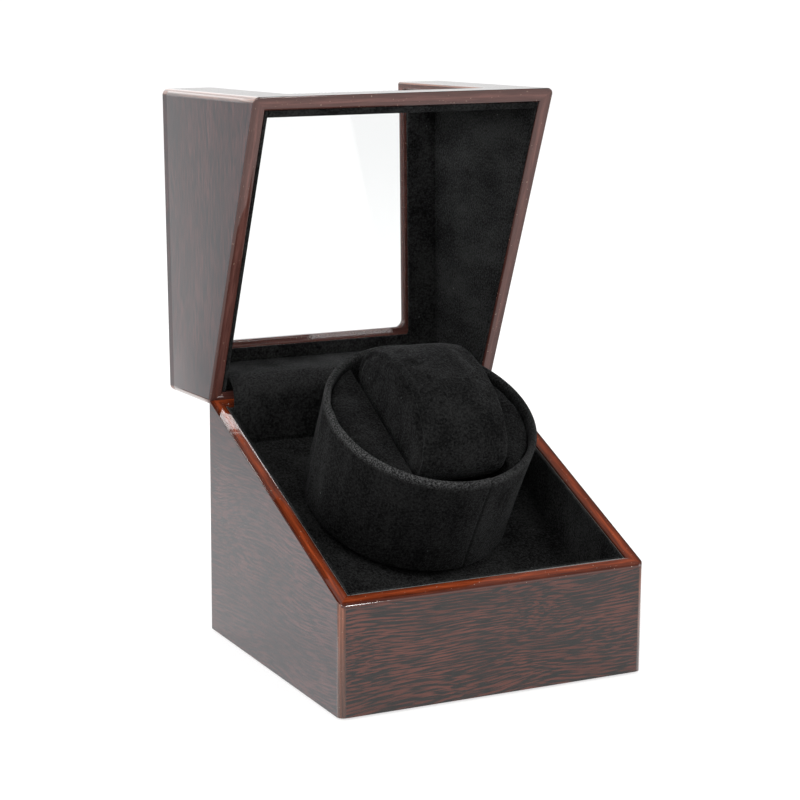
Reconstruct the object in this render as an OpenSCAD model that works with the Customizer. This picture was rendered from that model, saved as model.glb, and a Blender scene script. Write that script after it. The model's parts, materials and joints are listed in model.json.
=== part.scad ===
// Single watch winder box with a split wooden case, shown with its lid open.
// Millimetres, +Z up, front towards -Y. The origin is the centre of the
// underside. The winding drum leans forward on a tilted deck inside the base,
// and a geared motor under the deck turns it. The lid is drawn closed, in the
// same frame as the base, and then swung open about the hinge line.

/* [Box] */
// Width of the box across the front
box_w = 120; // [118:1:130]
// Depth of the box from front to back
box_d = 116; // [115:1:122]
// Height of the closed box
box_h = 130; // [129:1:145]
// Thickness of the veneered walls
wall = 5; // [4.5:0.5:5.5]
// Radius of the upright outer edges
edge_r = 2.5; // [1:0.5:4]
// Height of the base at its front
front_h = 40.5; // [38:0.5:43]
// Height of the hinge line
hinge_h = 89; // [88:0.5:91]
// Angle from closed to fully open
open_angle = 92; // [88:1:96]

/* [Lining] */
// Thickness of the velvet covered lining boards
lining_t = 1.5; // [1:0.25:2]
// Thickness of the lining behind the lid's front wall
front_lining_t = 2.5; // [1.5:0.25:3]
// Thickness of the padded board on the lid's rear wall
rear_pad_t = 5; // [4:0.5:6]
// How far the linings stop short of the split rim
lining_drop = 0.6; // [0.3:0.1:1.5]

/* [Window] */
// Width of the window in the lid
window_w = 80; // [70:1:84]
// Wood left between the window and the lid's rear face
window_rear_margin = 18; // [15:1:24]
// Wood left between the window and the lid's front rim
window_front_margin = 16.5; // [12:0.5:22]
// Radius of the window's corners
window_r = 3; // [2:0.5:6]
// Thickness of the bent acrylic pane
pane_t = 2; // [1.5:0.5:2.5]

/* [Drum] */
// Lean of the drum's axis towards the front, in degrees
tilt = 29; // [27:1:31]
// Radius of the drum at its lip
drum_r = 39.5; // [38:0.5:40]
// Depth of the drum from lip to underside
drum_depth = 43; // [42:0.5:44]
// Width of the slot across the drum
slot_w = 36.2; // [36:0.2:38]
// Width of the watch cushion
cushion_w = 35.6; // [34:0.2:35.8]
// Length of the oval cushion from end to end
cushion_l = 62; // [58:1:63]
// Depth of the oval cushion
cushion_d = 41; // [38:1:42]

/* [Drive] */
// Gear module
gear_m = 0.6; // [0.6:0.1:0.6]
// Teeth on the driven wheels
wheel_teeth = 48; // [48:1:48]
// Teeth on the pinions
pinion_teeth = 12; // [12:1:12]
// Belt line radius on the large pulley
pulley_r = 15; // [14:0.5:15]
// Belt line radius on the motor pulley
motor_pulley_r = 3; // [2.5:0.5:3.5]

/* [Hidden] */
$fn = 64;

// Play between parts that must not touch
play = 0.2;
running_play = 0.05;

// Case
veneer = [0.23, 0.16, 0.14];
rim_wood = [0.42, 0.17, 0.09];
velvet = [0.05, 0.05, 0.055];
felt_t = 0.8;
felt_inset = 2;
half_w = box_w / 2;
half_d = box_d / 2;
inner_w = half_w - wall;
inner_d = half_d - wall;
lid_ceiling = box_h - wall;

// Hinge line and split plane. Both rims are cut back behind the hinge line so
// that the cut faces meet when the lid is fully open.
hinge_inset = 2;
hinge_y = half_d - hinge_inset;
split_slope = (hinge_h - front_h) / (hinge_y + half_d);
split_angle = atan(split_slope);
stop_slope = tan(open_angle / 2);
function split_z(y) = hinge_h + (y - hinge_y) * split_slope;

// Deck and drum axis
drum_y = 14.25;
drum_z = 51.6;
deck_board_t = 4;
deck_hole_r = 10;
function deck_z(y) = drum_z + (y - drum_y) * tan(tilt);

// Hinges
hinge_x = 34;
hinge_w = 18;
knuckle_r = 1.8;
knuckle_half = 3;
hinge_pin_r = 0.75;
leaf_t = 0.8;
leaf_len = 12;
leaf_plate_len = 4.2;
leaf_gap = 0.15;
hinge_screw_x = 5;
hinge_screw_drop = 9.3;
hinge_screw_rise = 8.7;
hinge_screw_len = 3.8;
hinge_screw_r = 0.9;
hinge_screw_head_r = 1.7;

// Flap of velvet over the hinges
flap_t = 0.7;
flap_w = 104;
flap_bend_r = 8;
flap_tail = 15;
flap_lead = 4.5;

// Drum, measured up the tilted axis from the deck
drum_floor = 3;
drum_lip = drum_floor + drum_depth;
shell_t = 2.6;
shell_taper = 0.8;
lip_r = shell_t / 2;
floor_t = 3;
face_recess = 1.5;
slot_floor_top = 18;
slot_floor_bottom = 10.5;
hub_r = 7;
hub_flange_r = 14;
hub_screw_r = 11;
shaft_r = 2.5;

// Drive levels, measured along the tilted axis from the deck's top
belt_level = -7.25;
pulley_half = 1.75;
pulley_flange = 1.2;
motor_pulley_half = 2.4;
top_plate_z = -13.5;
top_plate_t = 2.5;
bottom_plate_z = -26.5;
bottom_plate_t = 2.5;
wheel_a_z = -18;
wheel_b_z = -22;
gear_t = 3;
thin_shaft_r = 1;
centre_distance = gear_m * (wheel_teeth + pinion_teeth) / 2;
mid_angle = 200;
pinion_angle = 250;
mid_pos = centre_distance * [cos(mid_angle), sin(mid_angle)];
pinion_pos = mid_pos + centre_distance * [cos(pinion_angle), sin(pinion_angle)];
motor_pos = [22, -20];
motor_r = 12.2;
motor_len = 12.3;
belt_t = 1.5;
plate_posts = [[-34, 12], [18, 14], [-34, -34], [8, -28]];
deck_posts = [[-40, 13], [35, 13], [-40, -38], [35, -38]];
post_r = 3.5;
plate_post_r = 3;
screw_r = 1.2;
screw_head_r = 2.3;
screw_head_t = 1.2;
motor_screw_r = 1;
motor_screw_head_r = 1.9;
motor_screw_offset = 7.5;
motor_boss_r = 3;
motor_end_boss_r = 4;
motor_tab_x = 7;
tab_w = 0.8;
tab_h = 3;

// Outlines of the two gear plates: width, depth, corner radius and centre
top_plate = [85, 60, 5];
top_plate_at = [-2, -12.5];
bottom_plate = [60, 56, 4];
bottom_plate_at = [-8, -10];

// Controls on the rear wall
control_z = 22;
jack_x = -32;
rocker_x = 32;
jack_barrel_r = 4;
plug_r = 2.85;
knob_r = 7.5;
knob_len = 9;
knob_travel = 150;
knob_shaft_r = 2;
bushing_r = 3.5;
rocker_w = 13;
rocker_h = 8.5;
rocker_throw = 16;
rocker_pin_r = 0.8;
board_y = 45.6;
board_t = 1.6;
board_w = 84;
board_h = 22;
switch_case = 16;

// ---------- helpers ----------

// A 2-D outline in the side view (Y right, Z up), carried along X
module along_x(width) {
    rotate([90, 0, 90]) linear_extrude(width, center = true) children();
}

// A rectangle with round corners, centred on the origin
module rounded_square(w, d, r) {
    square([w - 2 * r, d], center = true);
    square([w, d - 2 * r], center = true);
    for (x = [-1, 1], y = [-1, 1])
        translate([x * (w / 2 - r), y * (d / 2 - r)]) circle(r);
}

// A copy on the left and one on the right
module left_and_right(x) {
    for (side = [-1, 1]) translate([side * x, 0, 0]) children();
}

// From the closed lid's frame to its open place
module opened() {
    translate([0, hinge_y, hinge_h]) rotate([-open_angle, 0, 0])
        translate([0, -hinge_y, -hinge_h]) children();
}

// From the drum's own frame, Z up its axis from the deck, to the box
module at_drum() {
    translate([0, drum_y, drum_z]) rotate([tilt, 0, 0]) children();
}

// From the hinge's own frame, Y up along the split plane, to the box
module at_hinge(x) {
    translate([x, hinge_y, hinge_h]) rotate([split_angle, 0, 0]) children();
}

// ---------- case ----------

module wall_ring() {
    difference() {
        rounded_square(box_w, box_d, edge_r);
        square([2 * inner_w, 2 * inner_d], center = true);
    }
}

// Four mitred stretches of the ring
module front_stretch(side = 1) {
    polygon([
        [-half_w - 1, -side * (half_d + 1)], [half_w + 1, -side * (half_d + 1)],
        [inner_w, -side * inner_d], [-inner_w, -side * inner_d]
    ]);
}

module side_stretch(side = 1) {
    polygon([
        [side * (half_w + 1), -half_d - 1], [side * (half_w + 1), half_d + 1],
        [side * inner_w, inner_d], [side * inner_w, -inner_d]
    ]);
}

// Side view of everything below the split
module below_split() {
    along_x(box_w + 4) polygon([
        [-half_d - 1, 0], [-half_d - 1, split_z(-half_d - 1)], [hinge_y, hinge_h],
        [half_d + 1, hinge_h - (hinge_inset + 1) * stop_slope], [half_d + 1, 0]
    ]);
}

// Side view of the lid's walls above the split, a saw cut away from the base
module above_split() {
    translate([0, 0, play]) along_x(box_w + 4) polygon([
        [-half_d - 1, split_z(-half_d - 1)], [hinge_y, hinge_h],
        [half_d + 1, hinge_h + (hinge_inset + 1) * stop_slope],
        [half_d + 1, lid_ceiling - play], [-half_d - 1, lid_ceiling - play]
    ]);
}

module base_wall() {
    intersection() {
        translate([0, 0, felt_t]) linear_extrude(box_h) intersection() {
            wall_ring();
            children();
        }
        below_split();
    }
}

module lid_wall() {
    intersection() {
        linear_extrude(box_h) intersection() {
            wall_ring();
            children();
        }
        above_split();
    }
}

// Recess in both rear rims for the knuckles and the flat of each leaf
module hinge_rooms() {
    for (x = [-hinge_x, hinge_x]) at_hinge(x) {
        rotate([0, 90, 0]) cylinder(r = knuckle_r + play, h = hinge_w + 2 * play, center = true);
        translate([-hinge_w / 2 - play, -leaf_plate_len, -leaf_t - 2 * leaf_gap])
            cube([hinge_w + 2 * play, leaf_plate_len, 2 * (leaf_t + 2 * leaf_gap)]);
    }
}

module base_front_panel() {
    color(veneer) base_wall() front_stretch();
}

module base_left_panel() {
    color(veneer) base_wall() side_stretch(-1);
}

module base_right_panel() {
    color(veneer) base_wall() side_stretch();
}

module base_rear_panel() {
    color(veneer) difference() {
        base_wall() front_stretch(-1);
        hinge_rooms();
        hinge_screws(-1);
        translate([0, half_d + 1, control_z]) rotate([90, 0, 0]) {
            translate([jack_x, 0, 0]) cylinder(r = jack_barrel_r, h = wall + 2);
            cylinder(r = bushing_r, h = wall + 2);
        }
        translate([rocker_x - rocker_w / 2, inner_d - 1, control_z - rocker_h / 2])
            cube([rocker_w, wall + 2, rocker_h]);
    }
}

module base_bottom_board() {
    color(rim_wood) translate([-inner_w, -inner_d, felt_t]) cube([2 * inner_w, 2 * inner_d, wall]);
}

module base_felt() {
    color(velvet) linear_extrude(felt_t)
        rounded_square(box_w - 2 * felt_inset, box_d - 2 * felt_inset, edge_r);
}

module base_side_lining(side) {
    color(velvet) translate([side * (inner_w - lining_t / 2), 0, 0]) along_x(lining_t) polygon([
        [-inner_d, deck_z(-inner_d)], [inner_d, deck_z(inner_d)],
        [inner_d, split_z(inner_d) - lining_drop], [-inner_d, split_z(-inner_d) - lining_drop]
    ]);
}

module base_left_lining() {
    base_side_lining(-1);
}

module base_right_lining() {
    base_side_lining(1);
}

module base_front_lining() {
    face = -inner_d + lining_t;
    color(velvet) along_x(2 * (inner_w - lining_t)) polygon([
        [-inner_d, deck_z(-inner_d)], [face, deck_z(face)],
        [face, split_z(face) - lining_drop], [-inner_d, split_z(-inner_d) - lining_drop]
    ]);
}

module base_rear_lining() {
    face = inner_d - lining_t;
    top = split_z(face) - lining_drop;
    color(velvet) difference() {
        along_x(2 * (inner_w - lining_t))
            polygon([[face, deck_z(face)], [inner_d, deck_z(inner_d)], [inner_d, top], [face, top]]);
        left_and_right(hinge_x)
            translate([-hinge_w / 2 - play, face - 1, hinge_h - leaf_len - 2])
                cube([hinge_w + 2 * play, lining_t + 2, leaf_len + 3]);
    }
}

// The tilted deck that closes off the drive, its top at the drum frame's zero
module deck_board() {
    edge = inner_d - play / 2;
    drop = deck_board_t / cos(tilt);
    color(velvet) difference() {
        along_x(2 * inner_w - play) polygon([
            [-edge, deck_z(-edge)], [-edge, deck_z(-edge) - drop],
            [edge, deck_z(edge) - drop], [edge, deck_z(edge)]
        ]);
        at_drum() translate([0, 0, -deck_board_t - 4]) cylinder(r = deck_hole_r, h = deck_board_t + 8);
        deck_screws();
    }
}

module deck_cleats() {
    cleat = 5;
    front = -44;
    back = 46;
    top = deck_board_t / cos(tilt) + running_play;
    color(rim_wood) left_and_right(inner_w - cleat / 2) along_x(cleat) polygon([
        [front, deck_z(front) - top], [back, deck_z(back) - top],
        [back, deck_z(back) - top - cleat], [front, deck_z(front) - top - cleat]
    ]);
}

// ---------- lid ----------

window_back = half_d - window_rear_margin;
window_low = front_h + window_front_margin;

// The window cut through the lid's top, open towards the front
module window_in_top(grow = 0, r = window_r, grow_back = 0) {
    w = window_w + 2 * grow;
    back = window_back + max(grow, grow_back);
    translate([0, back - w / 2]) rounded_square(w, w, r);
    translate([-w / 2, -half_d - 1]) square([w, half_d + back - w / 2 + 1]);
}

// The window cut through the lid's front, open towards the top
module window_in_front(grow = 0, r = window_r) {
    w = window_w + 2 * grow;
    low = window_low - grow;
    translate([0, low + w / 2]) rounded_square(w, w, r);
}

// The pane's space, a rebate cut in the walls from inside
module pane_space(grow, clear) {
    w = window_w + 2 * grow;
    back = window_back + grow;
    low = window_low - grow;
    outer_y = -inner_d - pane_t - clear;
    outer_z = lid_ceiling + pane_t + clear;
    bend = 2.5;
    along_x(w) difference() {
        polygon([
            [outer_y, low], [-inner_d, low], [-inner_d, lid_ceiling],
            [back, lid_ceiling], [back, outer_z], [outer_y, outer_z]
        ]);
        translate([outer_y, outer_z]) difference() {
            translate([-1, -bend]) square([bend + 1, bend + 1]);
            translate([bend, -bend]) circle(bend);
        }
    }
}

module lid_front_panel() {
    color(veneer) opened() difference() {
        lid_wall() front_stretch();
        translate([0, -inner_d + 1, 0]) rotate([90, 0, 0]) linear_extrude(wall + 2) window_in_front();
        pane_space(3, 0);
    }
}

module lid_left_panel() {
    color(veneer) opened() lid_wall() side_stretch(-1);
}

module lid_right_panel() {
    color(veneer) opened() lid_wall() side_stretch();
}

module lid_rear_panel() {
    color(veneer) opened() difference() {
        lid_wall() front_stretch(-1);
        hinge_rooms();
        hinge_screws(1);
    }
}

module lid_top_panel() {
    color(veneer) opened() difference() {
        translate([0, 0, lid_ceiling]) linear_extrude(wall) rounded_square(box_w, box_d, edge_r);
        translate([0, 0, lid_ceiling - 1]) linear_extrude(wall + 2) window_in_top();
        pane_space(3, 0);
    }
}

module window_pane() {
    color([0.9, 0.95, 0.95, 0.3]) opened() pane_space(3 - play / 2, -play / 4);
}

module lid_side_lining(side) {
    drop = lining_drop + play;
    color(velvet) opened() translate([side * (inner_w - lining_t / 2), 0, 0]) along_x(lining_t) polygon([
        [-inner_d, split_z(-inner_d) + drop], [inner_d, split_z(inner_d) + drop],
        [inner_d, lid_ceiling], [-inner_d, lid_ceiling]
    ]);
}

module lid_left_lining() {
    lid_side_lining(-1);
}

module lid_right_lining() {
    lid_side_lining(1);
}

// The lining over the pane's edge leaves a ledge of wood in view, wider towards the rear
lining_reveal = 1.2;
rear_reveal = 2.8;

module lid_front_lining() {
    face = -inner_d + front_lining_t;
    drop = lining_drop + play;
    color(velvet) opened() difference() {
        along_x(2 * (inner_w - lining_t)) polygon([
            [-inner_d, split_z(-inner_d) + drop], [face, split_z(face) + drop],
            [face, lid_ceiling], [-inner_d, lid_ceiling]
        ]);
        translate([0, face + 1, 0]) rotate([90, 0, 0])
            linear_extrude(front_lining_t + 2) window_in_front(lining_reveal, window_r - 1.5);
    }
}

module lid_top_lining() {
    front = -inner_d + front_lining_t;
    back = inner_d - rear_pad_t;
    color(velvet) opened() translate([0, 0, lid_ceiling - lining_t]) difference() {
        translate([-inner_w + lining_t, front, 0])
            cube([2 * (inner_w - lining_t), back - front, lining_t]);
        translate([0, 0, -1]) linear_extrude(lining_t + 2)
            window_in_top(lining_reveal, window_r - 1.5, rear_reveal);
    }
}

// Padded board over the hinges' lid leaves
module lid_rear_lining() {
    low = hinge_h + 2.5;
    color(velvet) opened() difference() {
        translate([-inner_w + lining_t, inner_d - rear_pad_t, low])
            cube([2 * (inner_w - lining_t), rear_pad_t, lid_ceiling - low]);
        left_and_right(hinge_x)
            translate([-hinge_w / 2 - play, inner_d - leaf_t - play, low - 1])
                cube([hinge_w + 2 * play, leaf_t + 1, hinge_h + leaf_len - low + 1 + play]);
    }
}

// ---------- hinges ----------

// Screws of both hinges on one side of the split: -1 the base's, 1 the lid's
module hinge_screws(side) {
    z = hinge_h + (side < 0 ? -hinge_screw_drop : hinge_screw_rise);
    for (x = [-hinge_x, hinge_x], dx = [-hinge_screw_x, hinge_screw_x])
        translate([x + dx, inner_d - leaf_t, z]) rotate([-90, 0, 0]) {
            cylinder(r1 = hinge_screw_head_r, r2 = hinge_screw_r, h = leaf_t);
            cylinder(r = hinge_screw_r, h = hinge_screw_len);
        }
}

// A cranked leaf: a flat in the split, a leg down the wall's inner face, and
// its knuckles, the two outer ones on the base's leaf and the middle one on the lid's
module hinge_leaf(x, side) {
    leg_z = side < 0 ? hinge_h - leaf_len - 1 : hinge_h - 1;
    flat_z = side < 0 ? -leaf_t - leaf_gap : leaf_gap;
    half = knuckle_half - play / 2;
    outer = (hinge_w / 2 - knuckle_half - play / 2) / 2;
    knuckles = side < 0 ? [[-hinge_w / 2 + outer, outer], [hinge_w / 2 - outer, outer]] : [[0, half]];
    bore_r = hinge_pin_r + (side < 0 ? 0 : running_play);
    difference() {
        union() {
            at_hinge(x) translate([play / 2 - hinge_w / 2, -leaf_plate_len, flat_z])
                cube([hinge_w - play, leaf_plate_len - knuckle_r - play, leaf_t]);
            translate([x - hinge_w / 2, inner_d - leaf_t, leg_z]) cube([hinge_w, leaf_t, leaf_len - 1]);
            for (k = knuckles) at_hinge(x + k[0]) {
                rotate([0, 90, 0]) cylinder(r = knuckle_r, h = 2 * k[1], center = true);
                translate([play - k[1], -knuckle_r - 1, flat_z])
                    cube([2 * (k[1] - play), knuckle_r + 0.6, leaf_t]);
            }
        }
        at_hinge(x) rotate([0, 90, 0]) cylinder(r = bore_r, h = hinge_w + 2, center = true);
        hinge_screws(side);
    }
}

module hinge_base_leaf_left() {
    color("goldenrod") hinge_leaf(-hinge_x, -1);
}

module hinge_base_leaf_right() {
    color("goldenrod") hinge_leaf(hinge_x, -1);
}

module hinge_lid_leaf_left() {
    color("goldenrod") opened() hinge_leaf(-hinge_x, 1);
}

module hinge_lid_leaf_right() {
    color("goldenrod") opened() hinge_leaf(hinge_x, 1);
}

module hinge_pins() {
    color("gold") for (x = [-hinge_x, hinge_x]) at_hinge(x) rotate([0, 90, 0])
        cylinder(r = hinge_pin_r, h = hinge_w, center = true);
}

module hinge_base_screws() {
    color("gold") hinge_screws(-1);
}

module hinge_lid_screws() {
    color("gold") opened() hinge_screws(1);
}

// Velvet strip from the base's rear lining, over the hinges, to the lid's pad
module hinge_flap() {
    face = inner_d - lining_t;
    bend_y = face + flap_bend_r;
    bend_z = hinge_h - play / 4;
    color(velvet) along_x(flap_w) {
        translate([bend_y, bend_z]) intersection() {
            difference() {
                circle(flap_bend_r + flap_t);
                circle(flap_bend_r);
            }
            translate([-flap_bend_r - 1, 0]) square(flap_bend_r + 1);
        }
        translate([face - flap_t, bend_z - flap_tail]) square([flap_t, flap_tail]);
        translate([bend_y, bend_z + flap_bend_r]) square([flap_lead, flap_t]);
    }
}

// ---------- drum ----------

module drum_shell() {
    low_r = drum_r - shell_taper;
    lip_z = drum_lip - lip_r;
    inner_r = drum_r - shell_t;
    color(velvet) at_drum() difference() {
        rotate_extrude($fn = 96) {
            polygon([
                [0, drum_floor], [low_r - 1, drum_floor], [low_r, drum_floor + 1],
                [drum_r, lip_z], [inner_r, lip_z], [inner_r, drum_floor + floor_t],
                [0, drum_floor + floor_t]
            ]);
            translate([drum_r - lip_r, lip_z]) circle(lip_r);
        }
        translate([0, 0, drum_floor - 1]) cylinder(r = hub_r, h = floor_t + 2);
        hub_screw_set();
    }
}

insert_r = drum_r - shell_t - play / 2;

// D-shaped block that fills the drum beside the slot
module drum_insert(side) {
    low = drum_floor + floor_t;
    color(velvet) at_drum() intersection() {
        translate([0, 0, low]) cylinder(r = insert_r, h = drum_lip - face_recess - low, $fn = 96);
        translate([side < 0 ? -drum_r : slot_w / 2, -drum_r, 0])
            cube([drum_r - slot_w / 2, 2 * drum_r, drum_lip]);
    }
}

module drum_insert_left() {
    drum_insert(-1);
}

module drum_insert_right() {
    drum_insert(1);
}

module slot_floor() {
    color(velvet) at_drum() intersection() {
        translate([0, 0, slot_floor_bottom])
            cylinder(r = insert_r, h = slot_floor_top - slot_floor_bottom, $fn = 96);
        translate([play / 2 - slot_w / 2, -drum_r, 0]) cube([slot_w - play, 2 * drum_r, drum_lip]);
    }
}

hub_low = 2;
hub_high = 10.3;
hub_flange_t = 2.3;
hub_flange_top = drum_floor + floor_t + hub_flange_t;
hub_socket_top = 9;
hub_screw_head_t = 1.4;

module hub_screw_set() {
    for (a = [90, 210, 330]) rotate([0, 0, a]) translate([hub_screw_r, 0, 0]) {
        translate([0, 0, drum_floor + 0.5]) cylinder(r = screw_r, h = hub_flange_top - drum_floor);
        translate([0, 0, hub_flange_top]) cylinder(r = screw_head_r, h = hub_screw_head_t);
    }
}

// Boss that carries the drum on the output shaft
module drum_hub() {
    color("dimgray") at_drum() difference() {
        union() {
            translate([0, 0, hub_low]) cylinder(r = hub_r, h = hub_high - hub_low);
            translate([0, 0, drum_floor + floor_t]) cylinder(r = hub_flange_r, h = hub_flange_t);
        }
        translate([0, 0, hub_low - 1]) cylinder(r = shaft_r, h = hub_socket_top - hub_low + 1);
        hub_screw_set();
    }
}

module hub_screws() {
    color("silver") at_drum() hub_screw_set();
}

// Oval cushion that takes the watch, lying across the drum in the slot
module watch_cushion() {
    steps = 48;
    oval = [for (i = [0:steps - 1])
        [cushion_l / 2 * cos(360 * i / steps), cushion_d / 2 * sin(360 * i / steps)]];
    color(velvet) at_drum() translate([0, 0, drum_lip]) along_x(cushion_w) polygon(oval);
}

// ---------- drive ----------

pressure_angle = 25;
addendum = 0.9 * gear_m;
dedendum = 1.15 * gear_m;
tooth_thinning = 0.05;

function involute(a) = tan(a) * 180 / PI - a;
function flank_half_angle(r, base_r, teeth, pitch_r) =
    90 / teeth + involute(pressure_angle) - involute(r > base_r ? acos(base_r / r) : 0)
    - tooth_thinning / pitch_r * 180 / PI;

// Spur gear outline with a tooth pointing along +X
function gear_outline(teeth) =
    let (pitch_r = gear_m * teeth / 2,
         base_r = pitch_r * cos(pressure_angle),
         root_r = pitch_r - dedendum,
         radii = [root_r, pitch_r - 0.1 * gear_m, pitch_r + addendum],
         halves = [for (r = radii) flank_half_angle(max(r, root_r), base_r, teeth, pitch_r)])
    [for (k = [0:teeth - 1], j = [0:5])
        let (i = j < 3 ? j : 5 - j,
             a = 360 * k / teeth + (j < 3 ? -1 : 1) * halves[i])
        radii[i] * [cos(a), sin(a)]];

module toothed(teeth, thickness, phase) {
    rotate([0, 0, phase]) linear_extrude(thickness) polygon(gear_outline(teeth));
}

module output_shaft() {
    color("silver") at_drum() translate([0, 0, bottom_plate_z])
        cylinder(r = shaft_r, h = hub_socket_top - bottom_plate_z);
}

bush_r = 4.5;
bush_flange_r = 6;

module bush(height) {
    difference() {
        union() {
            cylinder(r = bush_r, h = height);
            translate([0, 0, height]) cylinder(r = bush_flange_r, h = 1);
        }
        translate([0, 0, -1]) cylinder(r = shaft_r + running_play, h = height + 3);
    }
}

module output_bushes() {
    color("peru") at_drum() {
        translate([0, 0, top_plate_z]) bush(top_plate_t);
        translate([0, 0, bottom_plate_z]) bush(bottom_plate_t);
    }
}

module output_gear() {
    boss_r = 5;
    color("ivory") at_drum() difference() {
        union() {
            translate([0, 0, wheel_b_z]) toothed(wheel_teeth, gear_t, mid_angle);
            translate([0, 0, wheel_b_z - 1 + running_play]) cylinder(r = boss_r, h = gear_t + 1.5);
        }
        translate([0, 0, wheel_b_z - 2]) cylinder(r = shaft_r, h = gear_t + 4);
    }
}

module mid_shaft() {
    color("silver") at_drum() translate([mid_pos.x, mid_pos.y, bottom_plate_z])
        cylinder(r = thin_shaft_r, h = top_plate_z + top_plate_t - bottom_plate_z);
}

// Wheel and pinion moulded as one
module mid_gear() {
    pinion_len = wheel_a_z - wheel_b_z + 1;
    color("ivory") at_drum() translate([mid_pos.x, mid_pos.y, 0]) difference() {
        union() {
            translate([0, 0, wheel_a_z]) toothed(wheel_teeth, gear_t, pinion_angle);
            translate([0, 0, wheel_b_z - 0.5])
                toothed(pinion_teeth, pinion_len, mid_angle + 180 + 180 / pinion_teeth);
        }
        translate([0, 0, wheel_b_z - 2]) cylinder(r = thin_shaft_r, h = 12);
    }
}

// Steel shaft with its pinion cut on it
module pinion_shaft() {
    color("silver") at_drum() translate([pinion_pos.x, pinion_pos.y, 0]) {
        translate([0, 0, bottom_plate_z])
            cylinder(r = thin_shaft_r, h = belt_level + pulley_half - bottom_plate_z);
        translate([0, 0, wheel_a_z - 0.3])
            toothed(pinion_teeth, gear_t + 0.6, pinion_angle + 180 + 180 / pinion_teeth);
    }
}

// Pulley with a square groove for the belt, centred on the belt level
module grooved_pulley(line_r, flange, hub, half_height, bore_r) {
    rotate_extrude() polygon([
        [bore_r, -half_height], [hub, -half_height], [line_r + flange, -pulley_half],
        [line_r + flange, -belt_t / 2 - 0.3], [line_r - belt_t / 2, -belt_t / 2 - 0.1],
        [line_r - belt_t / 2, belt_t / 2 + 0.1], [line_r + flange, belt_t / 2 + 0.3],
        [line_r + flange, pulley_half], [hub, half_height], [bore_r, half_height]
    ]);
}

module belt_pulley() {
    hole_r = 2.6;
    color("ivory") at_drum() translate([pinion_pos.x, pinion_pos.y, belt_level]) difference() {
        grooved_pulley(pulley_r, pulley_flange, 3, pulley_half, thin_shaft_r);
        for (a = [0:60:300]) rotate([0, 0, a]) translate([pulley_r * 0.55, 0, -pulley_half - 1])
            cylinder(r = hole_r, h = 2 * pulley_half + 2);
    }
}

module motor_pulley() {
    rim_r = motor_pulley_r + pulley_flange;
    color("gold") at_drum() translate([motor_pos.x, motor_pos.y, belt_level])
        grooved_pulley(motor_pulley_r, pulley_flange, rim_r, motor_pulley_half, thin_shaft_r);
}

module belt_loop(offset_r) {
    hull() {
        translate(pinion_pos) circle(pulley_r + offset_r);
        translate(motor_pos) circle(motor_pulley_r + offset_r);
    }
}

module drive_belt() {
    color("black") at_drum() translate([0, 0, belt_level - belt_t / 2]) linear_extrude(belt_t)
        difference() {
            belt_loop(belt_t / 2);
            belt_loop(running_play - belt_t / 2);
        }
}

module motor_shaft() {
    color("silver") at_drum() translate([motor_pos.x, motor_pos.y, top_plate_z - motor_len + 1])
        cylinder(r = thin_shaft_r, h = belt_level + motor_pulley_half - top_plate_z + motor_len - 1);
}

module motor_screw_set() {
    translate([motor_pos.x, motor_pos.y, 0]) left_and_right(motor_screw_offset) {
        translate([0, 0, top_plate_z - 2]) cylinder(r = motor_screw_r, h = top_plate_t + 2);
        translate([0, 0, top_plate_z + top_plate_t]) cylinder(r = motor_screw_head_r, h = screw_head_t);
    }
}

module motor_can() {
    color("lightgray") at_drum() difference() {
        translate([motor_pos.x, motor_pos.y, 0]) {
            translate([0, 0, top_plate_z - motor_len]) cylinder(r = motor_r, h = motor_len);
            translate([0, 0, top_plate_z]) cylinder(r = motor_boss_r, h = 1.2);
            translate([0, 0, top_plate_z - motor_len - 1]) cylinder(r = motor_end_boss_r, h = 1);
            left_and_right(motor_tab_x) translate([0, 0, top_plate_z - motor_len - 1.7])
                cube([tab_w, tab_h, 3.6], center = true);
        }
        translate([motor_pos.x, motor_pos.y, top_plate_z - motor_len + 1 - running_play])
            cylinder(r = thin_shaft_r + running_play, h = motor_len + 4);
        motor_screw_set();
    }
}

module motor_screws() {
    color("silver") at_drum() motor_screw_set();
}

module plate_outline(size, at) {
    translate(at) rounded_square(size[0], size[1], size[2]);
}

// Carries the motor and hangs from the deck on its four moulded posts
module gear_top_plate() {
    post_len = -deck_board_t - top_plate_z - top_plate_t;
    color("dimgray") difference() {
        at_drum() difference() {
            translate([0, 0, top_plate_z]) {
                linear_extrude(top_plate_t) plate_outline(top_plate, top_plate_at);
                for (p = deck_posts) translate([p.x, p.y, top_plate_t]) cylinder(r = post_r, h = post_len);
            }
            translate([0, 0, top_plate_z - 1]) {
                cylinder(r = bush_r, h = top_plate_t + 2);
                for (p = [mid_pos, pinion_pos]) translate([p.x, p.y, 0])
                    cylinder(r = thin_shaft_r + running_play, h = top_plate_t + 2);
                translate([motor_pos.x, motor_pos.y, 0]) cylinder(r = motor_boss_r, h = top_plate_t + 2);
            }
            motor_screw_set();
            plate_screw_set();
        }
        deck_screws();
    }
}

// Closes the gear train from below, with posts up to the top plate
module gear_bottom_plate() {
    post_low = bottom_plate_z + bottom_plate_t;
    color("dimgray") at_drum() difference() {
        union() {
            translate([0, 0, bottom_plate_z]) linear_extrude(bottom_plate_t) difference() {
                plate_outline(bottom_plate, bottom_plate_at);
                translate(motor_pos) circle(motor_r + 1);
            }
            for (p = plate_posts) translate([p.x, p.y, post_low])
                cylinder(r = plate_post_r, h = top_plate_z - post_low);
        }
        translate([0, 0, bottom_plate_z - 1]) {
            cylinder(r = bush_r, h = bottom_plate_t + 2);
            for (p = [mid_pos, pinion_pos]) translate([p.x, p.y, 0])
                cylinder(r = thin_shaft_r + running_play, h = bottom_plate_t + 2);
        }
        plate_screw_set();
    }
}

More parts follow.
